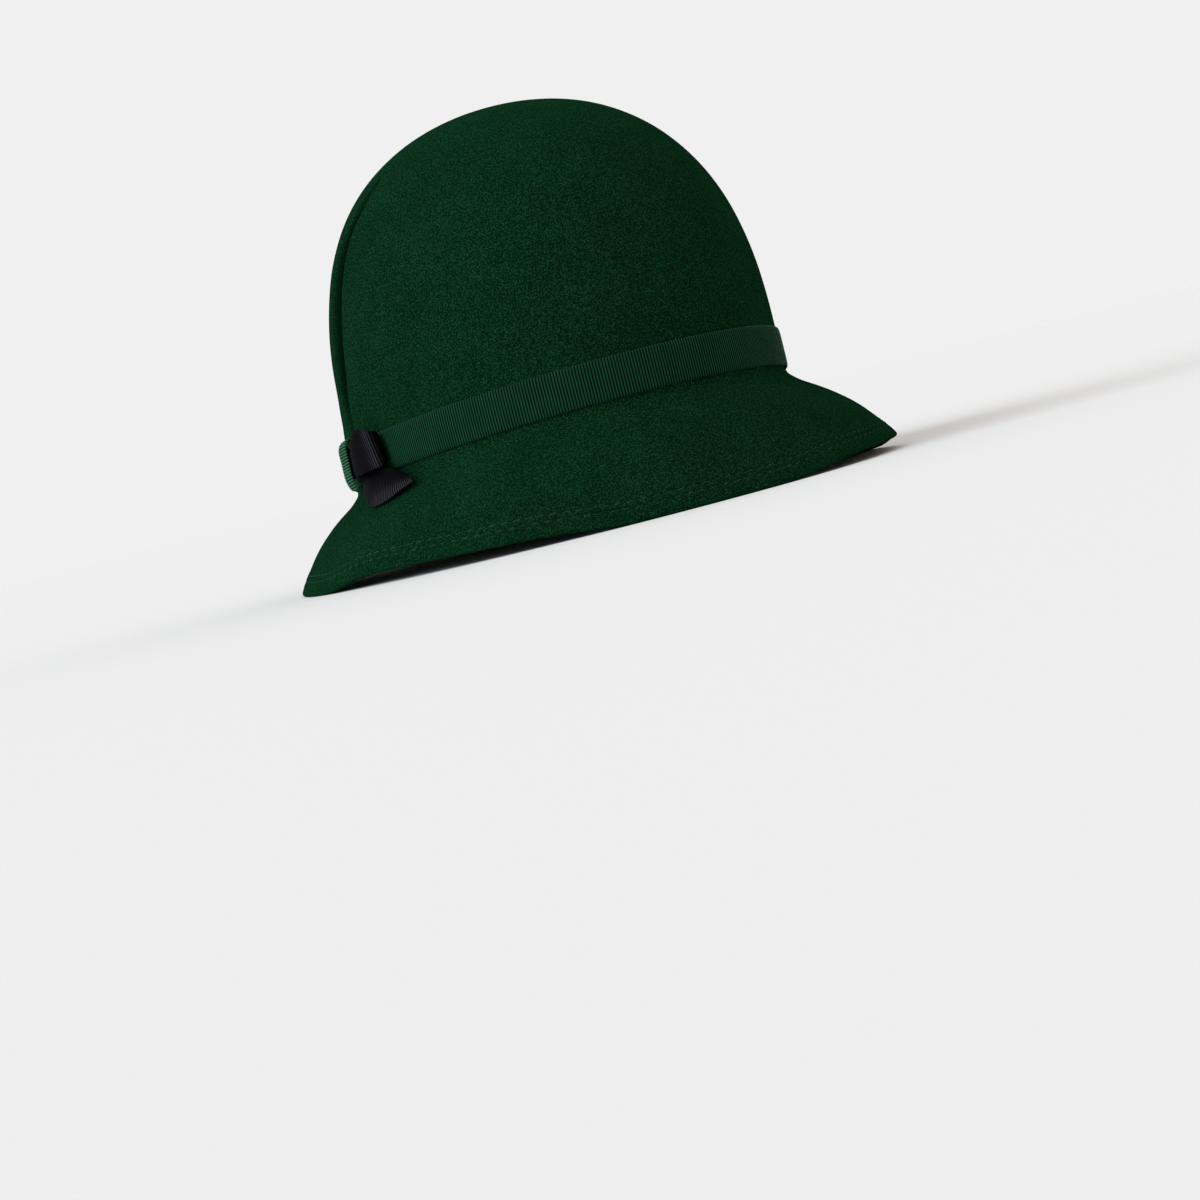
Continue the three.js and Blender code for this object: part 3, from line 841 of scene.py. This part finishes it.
class TrimPlace:
    """Places for the ribbons: beside the band and on the brim, in the frame."""

    def __init__(self, felt, ribbon):
        self.felt = felt
        self.ribbon = ribbon

    def around(self, along):
        return self.ribbon.trim_angle + np.asarray(along) * MM / self.felt.crown_half_length

    def head_line(self, around):
        return self.felt.head_height + self.felt.head_rise * np.cos(around)

    def section(self, around, out, height):
        wide, long = self.felt.crown_half_width, self.felt.crown_half_length
        outward = np.stack([np.sin(around) / wide, -np.cos(around) / long], axis=-1)
        outward /= np.linalg.norm(outward, axis=-1, keepdims=True)
        oval = np.stack([wide * np.sin(around), -long * np.cos(around)], axis=-1)
        spot = oval + outward * np.asarray(out)[..., None] + np.array(CROWN_MIDDLE.xy)
        return np.concatenate([spot, np.broadcast_to(height, around.shape)[..., None]], axis=-1)

    def beside_band(self, along, out, up):
        around = self.around(along)
        middle = self.head_line(around) + self.ribbon.band_lift + self.ribbon.band_width / 2
        off = RIBBON_GAP + RIBBON_THICKNESS + np.asarray(out) * MM
        return self.section(around, off, middle + np.asarray(up) * MM)

    def on_brim(self, along, down, lift):
        around = self.around(along)
        degrees = np.degrees(np.abs(around))
        reach = table_curve(BRIM_EDGE, "angle", "right", degrees) * MM
        floor = table_curve(BRIM_EDGE, "angle", "height", degrees) * MM
        head = self.head_line(around)
        drop = floor + self.felt.lip_height - head
        slope = np.hypot(reach, drop)
        share = np.asarray(down) * MM / slope
        rise = (table_curve(BRIM_BOW, "share", "lift", share) + np.asarray(lift)) * MM
        out = reach * share - drop / slope * rise
        return self.section(around, out, head + drop * share + reach / slope * rise)


def step_up(value, low, high):
    """0 below low, 1 above high and a smooth rise between them."""
    share = np.clip((value - low) / (high - low), 0, 1)
    return share * share * (3 - 2 * share)


# Where a black ribbon has painted shade (above 0) and where its ribs have painted highlights (below 0).
FOLD_SHADE = {"middle": 0.45, "width": 0.07, "depth": 1.0}
FOLD_LIGHT = {"middle": 0.575, "width": 0.03, "depth": -3.2}
TAIL_LIGHT = {"across": (0.5, 0.85), "along": (0.3, 0.5), "depth": -3.0}
TAIL_SHADE = {"across": (0.55, 0.2), "depth": 0.35}


def loop_painted_light(shares, across):
    """Painted shade on the side of the loop's fold, and painted highlights on the ribs along the fold's
    edge.
    """
    painted_light = sum(
        form["depth"] * np.exp(-((shares - form["middle"]) / form["width"]) ** 2)
        for form in (FOLD_SHADE, FOLD_LIGHT))
    return np.repeat(painted_light[:, None], len(across), axis=1)


def tail_painted_light(shares, across):
    """Painted highlights on the tail's ribs along its lower edge, and painted shade beside the loop."""
    lit = step_up(shares, *TAIL_LIGHT["along"])[:, None] * step_up(across, *TAIL_LIGHT["across"])
    return TAIL_LIGHT["depth"] * lit + TAIL_SHADE["depth"] * step_up(across, *TAIL_SHADE["across"])


def no_painted_light(shares, across):
    """A ribbon with no painted light or shade."""
    return np.zeros((len(shares), len(across)))


def strip_mesh(name, first_edge, second_edge, pitch, rows, painted_light):
    """A ribbon's middle sheet between two edge curves."""
    rough = np.linspace(0, 1, ROUGH_STEPS)
    middle = (smooth_line(first_edge, rough) + smooth_line(second_edge, rough)) / 2
    travel = along_line(middle)
    steps = int(round(travel[-1] / pitch * RIB_STEPS))
    along = np.linspace(0, travel[-1], steps + 1)
    shares = np.interp(along, travel, rough)
    first, second = smooth_line(first_edge, shares), smooth_line(second_edge, shares)
    across = across_shares(rows)
    places = first[:, None] * (1 - across[:, None]) + second[:, None] * across[:, None]
    cut = np.minimum(along, along[-1] - along)
    return sheet_mesh(name, places, along, cut, painted_light(shares, across), closed=False)


def flat_size(mesh):
    """Width and length of a ribbon's middle sheet, laid flat."""
    area = sum(face.area for face in mesh.polygons)
    along = np.zeros(len(mesh.vertices), np.float32)
    mesh.attributes["along"].data.foreach_get("value", along)
    long = float(along.max())
    return area / long, long


PAINTED_LIGHTS = {"bow_loop": loop_painted_light, "bow_tail": tail_painted_light}
BAND_ROWS = 13
TRIM_ROWS = 17


def band_mesh(place, ribbon):
    """The band's middle sheet round the foot of the crown."""
    rough = np.linspace(-math.pi, math.pi, ROUND_STEPS)
    off = np.full_like(rough, RIBBON_GAP + RIBBON_THICKNESS / 2)
    travel = along_line(place.section(rough, off, place.head_line(rough)))
    ribs = round(travel[-1] / ribbon.rib_pitch)
    steps = ribs * RIB_STEPS
    along = np.arange(steps) / steps * travel[-1]
    around = np.interp(along, travel, rough)[:, None] * np.ones(BAND_ROWS)
    up = ribbon.band_lift + ribbon.band_width * across_shares(BAND_ROWS)
    out = np.full(around.shape, RIBBON_GAP + RIBBON_THICKNESS / 2)
    places = place.section(around, out, place.head_line(around) + up)
    fitted = along * (ribs * ribbon.rib_pitch / travel[-1])
    return sheet_mesh("ribbon_band", places, fitted, np.ones(steps), np.zeros(around.shape), closed=True)


# Materials

# How much each noise tells in the wool's grain and relief, and how rare its light specks are.
WOOL_GRAIN = {"fine": 5.0, "tangle": 0.7, "mottle": 0.4}
WOOL_RELIEF = {"fine": 0.6, "tangle": 0.4}
TANGLE_SIZE = 0.45
SPECK_POWER = 2.2
NAP_ROUGHNESS = 0.6
SHEEN_OVER_COLOUR = 4

# How much the ribs and two noises tell in a ribbon's weave, and how fine the noises are.
WEAVE = {"crest": 2.0, "threads": 0.6, "wander": 0.4}
WEAVE_SCALE = {"threads": 2600.0, "wander": 160.0}
WEAVE_RELIEF = 0.1 * MM
RIBBON_SHEEN_ROUGHNESS = 0.25

# Finishes: noise cells to a metre and relief of the wools, gloss and sheen of the ribbons.
FELT_FINISH = {"fibre": 1900.0, "mottle": 45.0, "bump": 0.5 * MM, "sheen": 0.1}
THREAD_FINISH = {"fibre": 1800.0, "mottle": 90.0, "bump": 0.1 * MM, "sheen": 0.1}
GREEN_FINISH = {"gloss": 0.02, "sheen": 0.3}
BLACK_FINISH = {"gloss": 0.01, "sheen": 0.04}
FLOOR_SPECKS = {"scale": 300.0, "brighter": 1.01}


def wool_group():
    """Wool grain: short tangled fibres over a soft mottle."""
    n, given = open_tree(
        "wool_grain", "ShaderNodeTree",
        {"Vector": "Vector", "Fibre": "Float", "Mottle": "Float"}, {"Grain": "Float", "Height": "Float"})
    place = given["Vector"]
    noises = {
        "fine": {"Scale": given["Fibre"], "Detail": 2.0, "Roughness": 0.6},
        "tangle": {"Scale": given["Fibre"] * TANGLE_SIZE, "Detail": 3.0, "Distortion": 2.5},
        "mottle": {"Scale": given["Mottle"], "Detail": 2.0},
    }
    noise = {
        name: n.field("ShaderNodeTexNoise", 0, {"Vector": place, **inputs})
        for name, inputs in noises.items()}
    grain = sum((noise[name] - 0.5) * weight for name, weight in WOOL_GRAIN.items()) + 0.5
    n.add("NodeGroupOutput", {
        "Grain": n.clamp(grain, 0.0, 1.0) ** SPECK_POWER,
        "Height": sum(noise[name] * weight for name, weight in WOOL_RELIEF.items())})
    return n.tree


def rib_group():
    """Grosgrain: a mask that is 1 on a rib's crest and 0 in the valley, with uneven threads."""
    n, given = open_tree(
        "grosgrain_weave", "ShaderNodeTree",
        {"Vector": "Vector", "Along": "Float", "Pitch": "Float"}, {"Crest": "Float", "Height": "Float"})
    parts = {
        name: n.field("ShaderNodeTexNoise", 0, {"Vector": given["Vector"], "Scale": scale, "Detail": 2.0})
        for name, scale in WEAVE_SCALE.items()}
    parts["crest"] = n.size_of(n.cos(given["Along"] * math.pi / given["Pitch"]))
    mask = sum((parts[name] - 0.5) * weight for name, weight in WEAVE.items())
    n.add("NodeGroupOutput", {"Crest": n.clamp(mask, 0.0, 1.0), "Height": parts["threads"]})
    return n.tree


def group_of(name, build):
    """A shader node group, built the first time it is asked for."""
    return bpy.data.node_groups.get(name) or build()


def new_material(name):
    """A material with an empty Principled shader and the object's own coordinates."""
    material = bpy.data.materials.new(name)
    material.use_nodes = True
    nodes = Nodes(material.node_tree)
    shader = material.node_tree.nodes["Principled BSDF"]
    place = nodes.field("ShaderNodeTexCoord", "Object")
    return material, nodes, shader, place


def blended(nodes, mask, deep, light):
    """Colour between a deep and a light one by a mask."""
    mix = nodes.add("ShaderNodeMix", data_type="RGBA")
    nodes.fill(mix, {"Factor": mask, 6: (*deep, 1.0), 7: (*light, 1.0)})
    return mix.outputs[2]


def wool_material(name, deep, light, fibre, mottle, bump, sheen):
    """Matt wool: fibres between two shades, with a short nap, and painted shade where the tuck's groove is
    marked.
    """
    material, n, shader, place = new_material(name)
    grain = n.add(
        "ShaderNodeGroup", {"Vector": place, "Fibre": fibre, "Mottle": mottle},
        node_tree=group_of("wool_grain", wool_group))
    # Painted shade in the tuck's groove; the thread has none, so it reads 0 there.
    groove_painted_shade = n.field("ShaderNodeAttribute", "Fac", attribute_name="groove_painted_shade")
    grain_and_painted_shade = Field(n, grain.outputs["Grain"]) * (1.0 - groove_painted_shade)
    n.fill(shader, {
        "Base Color": blended(n, grain_and_painted_shade, deep, light),
        "Roughness": grain_and_painted_shade * -0.1 + 0.95,
        "Normal": n.field("ShaderNodeBump", 0, {
            "Strength": 0.8, "Distance": bump, "Height": grain.outputs["Height"]}),
        "Specular IOR Level": 0.0,
        "Sheen Weight": sheen,
        "Sheen Roughness": NAP_ROUGHNESS,
        "Sheen Tint": (*(min(1.0, part * SHEEN_OVER_COLOUR) for part in light), 1.0),
    })
    return material


def ribbon_material(name, valley, crest, tint, pitch, gloss, sheen):
    """Grosgrain with light crests, dark valleys that are partly painted shade between the ribs, and a soft
    sheen.
    """
    material, n, shader, place = new_material(name)
    along, painted_light = (
        n.field("ShaderNodeAttribute", "Fac", attribute_name=layer) for layer in ("along", "painted_light"))
    weave = n.add(
        "ShaderNodeGroup", {"Vector": place, "Along": along, "Pitch": pitch},
        node_tree=group_of("grosgrain_weave", rib_group))
    ribs = Field(n, weave.outputs["Crest"])
    n.fill(shader, {
        # Painted light: the colour is darkened where the sheet's value is above 0 (painted shade) and
        # lightened where it is below 0 (painted highlights).
        "Base Color": n.scaled(blended(n, ribs, valley, crest), 1.0 - painted_light),
        "Roughness": ribs * -0.2 + 0.7,
        "Normal": n.field("ShaderNodeBump", 0, {
            "Strength": 0.5, "Distance": WEAVE_RELIEF, "Height": weave.outputs["Height"]}),
        "Specular IOR Level": gloss,
        "Sheen Weight": sheen,
        "Sheen Roughness": RIBBON_SHEEN_ROUGHNESS,
        "Sheen Tint": (*tint, 1.0),
    })
    return material


def floor_material(shade):
    """Plain pale floor."""
    material, n, shader, place = new_material("pale_floor")
    specks = n.field("ShaderNodeTexNoise", 0, {"Vector": place, "Scale": FLOOR_SPECKS["scale"]})
    brighter = tuple(min(1.0, part * FLOOR_SPECKS["brighter"]) for part in shade)
    n.fill(shader, {
        "Base Color": blended(n, specks, shade, brighter), "Roughness": 0.9, "Specular IOR Level": 0.1})
    return material


# Operators

class HAT_OT_felt(bpy.types.Operator):
    """Make the felt body with its tuck and turned hem"""

    bl_idname = "hat.felt"
    bl_label = "Felt body"

    def execute(self, context):
        felt, stitch = context.scene.hat_felt, context.scene.hat_stitch
        material = wool_material("bottle_green_felt", felt.colour_deep, felt.colour_light, **FELT_FINISH)
        sizes = {**sizes_of(felt, SHAPE_SIZES), **sizes_of(stitch, STITCH_ROWS)}
        start = bpy.data.meshes.new("felt_hood")
        piece = apply_tree("felt_hood", start, felt_tree(), material, sizes)
        hand_over(piece, "felt", "felt_body")
        return {"FINISHED"}


class HAT_OT_stitches(bpy.types.Operator):
    """Sew the two rows of stitches along the hem"""

    bl_idname = "hat.stitches"
    bl_label = "Hem stitches"

    def execute(self, context):
        felt, stitch = context.scene.hat_felt, context.scene.hat_stitch
        material = wool_material("hem_thread", stitch.colour_deep, stitch.colour_light, **THREAD_FINISH)
        sizes = {**sizes_of(felt, SHAPE_SIZES), **sizes_of(stitch, STITCH_SIZES)}
        start = bpy.data.meshes.new("hem_stitches")
        piece = apply_tree("hem_stitches", start, stitch_tree(), material, sizes)
        hand_over(piece, "felt")
        return {"FINISHED"}


class HAT_OT_ribbons(bpy.types.Operator):
    """Make the ribbon band and the trim: the wrap, the folded loop and the tail"""

    bl_idname = "hat.ribbons"
    bl_label = "Ribbon band and trim"

    def execute(self, context):
        felt, ribbon = context.scene.hat_felt, context.scene.hat_ribbon
        place = TrimPlace(felt, ribbon)
        pitch = ribbon.rib_pitch
        # The wrap's material is a lit copy of the green one, with painted light in its lighter crests.
        green, brighter = (
            ribbon_material(name, ribbon.green_valley, crest, ribbon.green_sheen, pitch, **GREEN_FINISH)
            for name, crest in (
                ("green_grosgrain", ribbon.green_crest), ("wrap_lit_grosgrain", ribbon.wrap_lit_crest)))
        black = ribbon_material(
            "black_grosgrain", ribbon.black_valley, ribbon.black_crest, ribbon.black_sheen, pitch,
            **BLACK_FINISH)
        loop, wrap, tail = LOOP_PATH, WRAP_PATH, TAIL_PATH
        strips = {
            "bow_wrap": (
                place.beside_band(wrap["rear"], wrap["out"], wrap["up"]),
                place.beside_band(wrap["front"], wrap["out"], wrap["up"])),
            "bow_loop": (
                place.beside_band(loop["low_along"], loop["out"], loop["low"]),
                place.beside_band(loop["high_along"], loop["out"], loop["high"])),
            "bow_tail": (
                place.beside_band(tail["high_along"], tail["high_out"], tail["high_up"]),
                place.on_brim(tail["low_along"], tail["low_down"], tail["low_lift"])),
        }
        sheets = {"ribbon_band": band_mesh(place, ribbon)}
        for name, (first, second) in strips.items():
            painted_light = PAINTED_LIGHTS.get(name, no_painted_light)
            sheets[name] = strip_mesh(name, first, second, pitch, TRIM_ROWS, painted_light)
        tree = ribbon_tree()
        for name, mesh in sheets.items():
            is_black = name in PAINTED_LIGHTS
            material = black if is_black else brighter if name == "bow_wrap" else green
            flat = flat_size(mesh)
            piece = apply_tree(f"{name}_cloth", mesh, tree, material, sizes_of(ribbon, RIBBON_SIZES))
            hand_over(piece, "ribbon_black" if is_black else "ribbon_green", name)
        return {"FINISHED"}


class HAT_OT_stage(bpy.types.Operator):
    """Make the floor, the lights and the camera"""

    bl_idname = "hat.stage"
    bl_label = "Floor, light and camera"

    def execute(self, context):
        stage = context.scene.hat_stage
        self.make_floor(context, stage)
        self.make_lights(context, stage)
        self.make_camera(context, stage, context.scene.hat_felt)
        return {"FINISHED"}

    def make_floor(self, context, stage):
        radius = stage.floor_radius
        around = np.linspace(0, math.tau, FLOOR_SIDES, endpoint=False)
        ring = [(radius * math.cos(turn), radius * math.sin(turn), 0.0) for turn in around]
        mesh = bpy.data.meshes.new("floor")
        mesh.from_pydata(ring, [], [list(range(len(ring)))])
        mesh.materials.append(floor_material(stage.floor_colour))
        floor = bpy.data.objects.new("floor", mesh)
        context.scene.collection.objects.link(floor)

    def make_lights(self, context, stage):
        world = bpy.data.worlds.new("studio")
        world.use_nodes = True
        world.node_tree.nodes["Background"].inputs["Color"].default_value = (*stage.sky_colour, 1.0)
        context.scene.world = world
        lamp = bpy.data.lights.new("key_light", "SUN")
        lamp.energy = stage.key_strength
        lamp.color = stage.key_colour
        lamp.angle = stage.key_spread
        key = bpy.data.objects.new("key_light", lamp)
        turn, height = stage.key_turn, stage.key_height
        level = math.cos(height)
        aim = Vector((math.sin(turn) * level, math.cos(turn) * level, -math.sin(height)))
        key.rotation_euler = aim.to_track_quat("-Z", "Y").to_euler()
        context.scene.collection.objects.link(key)
        context.scene.view_settings.view_transform = "Standard"

    def make_camera(self, context, stage, felt):
        turn, tilt, roll = stage.camera_turn, stage.camera_tilt, stage.camera_roll
        right = Vector((math.cos(turn), -math.sin(turn), 0.0))
        back = Vector((-math.sin(turn) * math.cos(tilt), -math.cos(turn) * math.cos(tilt), math.sin(tilt)))
        up = back.cross(right)
        lean_right = right * math.cos(roll) - up * math.sin(roll)
        lean_up = right * math.sin(roll) + up * math.cos(roll)
        focal = stage.lens / SENSOR_WIDTH * IMAGE_SIDE
        middle = IMAGE_SIDE / 2
        aside = (stage.picture_x - middle) / focal * stage.camera_distance
        above = (middle - stage.picture_y) / focal * stage.camera_distance
        target = Vector((CROWN_MIDDLE.x, CROWN_MIDDLE.y, felt.head_height))
        place = target - lean_right * aside - lean_up * above + back * stage.camera_distance
        lens = bpy.data.cameras.new("camera")
        lens.lens = stage.lens
        lens.sensor_width = SENSOR_WIDTH
        lens.clip_start, lens.clip_end = CAMERA_CLIP
        camera = bpy.data.objects.new("camera", lens)
        turned = Matrix((lean_right, lean_up, back)).transposed().to_4x4()
        camera.matrix_world = Matrix.Translation(place) @ turned
        context.scene.collection.objects.link(camera)
        context.scene.camera = camera


class HAT_PT_panel(bpy.types.Panel):
    """Lists the steps that dress the hat"""

    bl_idname = "HAT_PT_panel"
    bl_label = "Felt cloche hat"
    bl_space_type = "VIEW_3D"
    bl_region_type = "UI"
    bl_category = "Hat"

    def draw(self, context):
        for operator in OPERATORS:
            self.layout.operator(operator.bl_idname)
        for name in SETTINGS:
            settings = getattr(context.scene, name)
            box = self.layout.box()
            for key in settings.bl_rna.properties.keys():
                if key not in ("rna_type", "name"):
                    box.prop(settings, key)


OPERATORS = (HAT_OT_stage, HAT_OT_felt, HAT_OT_stitches, HAT_OT_ribbons)
SETTINGS = {"hat_felt": HatFelt, "hat_ribbon": HatRibbon, "hat_stitch": HatStitch, "hat_stage": HatStage}


def register():
    for item in (*SETTINGS.values(), *OPERATORS, HAT_PT_panel):
        bpy.utils.register_class(item)
    for name, group in SETTINGS.items():
        setattr(bpy.types.Scene, name, PointerProperty(type=group))


def unregister():
    for name in SETTINGS:
        delattr(bpy.types.Scene, name)
    for item in (HAT_PT_panel, *OPERATORS, *SETTINGS.values()):
        bpy.utils.unregister_class(item)


def main():
    register()
    bpy.ops.hat.stage()
    bpy.ops.hat.felt()
    bpy.ops.hat.stitches()
    bpy.ops.hat.ribbons()


if __name__ == "__main__":
    main()
